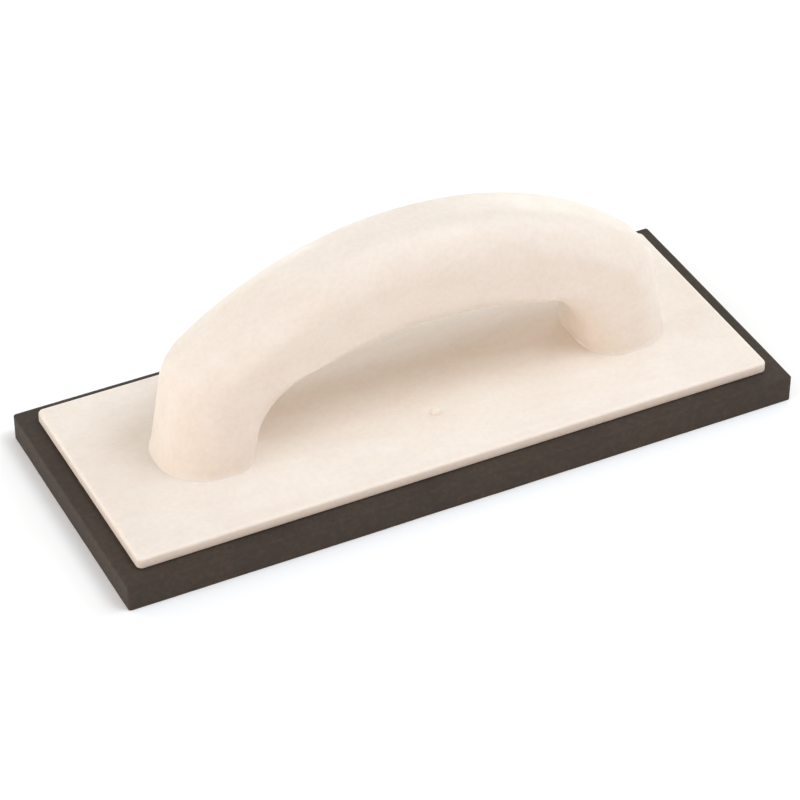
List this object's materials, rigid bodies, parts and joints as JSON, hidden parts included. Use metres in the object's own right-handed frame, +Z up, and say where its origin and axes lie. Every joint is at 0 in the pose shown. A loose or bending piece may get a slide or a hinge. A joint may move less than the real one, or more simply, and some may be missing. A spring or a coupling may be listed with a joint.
{
  "type": "rubber float",
  "caption": "Rectangular rubber hand float: a rubber working pad under a moulded plastic backing plate with an arched two-legged handle.",
  "frame": {"origin": "centre of the rubber pad's flat working face, the lowest face of the float", "axes": "+X along the float's long side and the handle, +Y across the float, +Z up from the working face to the grip"},
  "size_m": [0.2414, 0.098, 0.081],
  "materials": {
    "cream_plastic": "satin structural-foam moulding, faintly swirled",
    "dark_rubber": "matte brown-black moulded rubber, sawn edges",
    "contact_cement": "dull dried film",
    "zinc_steel": "zinc plated"
  },
  "bodies": {
    "root": {"rubber_pad": "dark_rubber", "adhesive_film": "contact_cement", "backing_plate": "cream_plastic", "handle": "cream_plastic", "handle_screw_1": "zinc_steel", "handle_screw_2": "zinc_steel", "handle_screw_3": "zinc_steel", "handle_screw_4": "zinc_steel"}
  },
  "joints": []
}
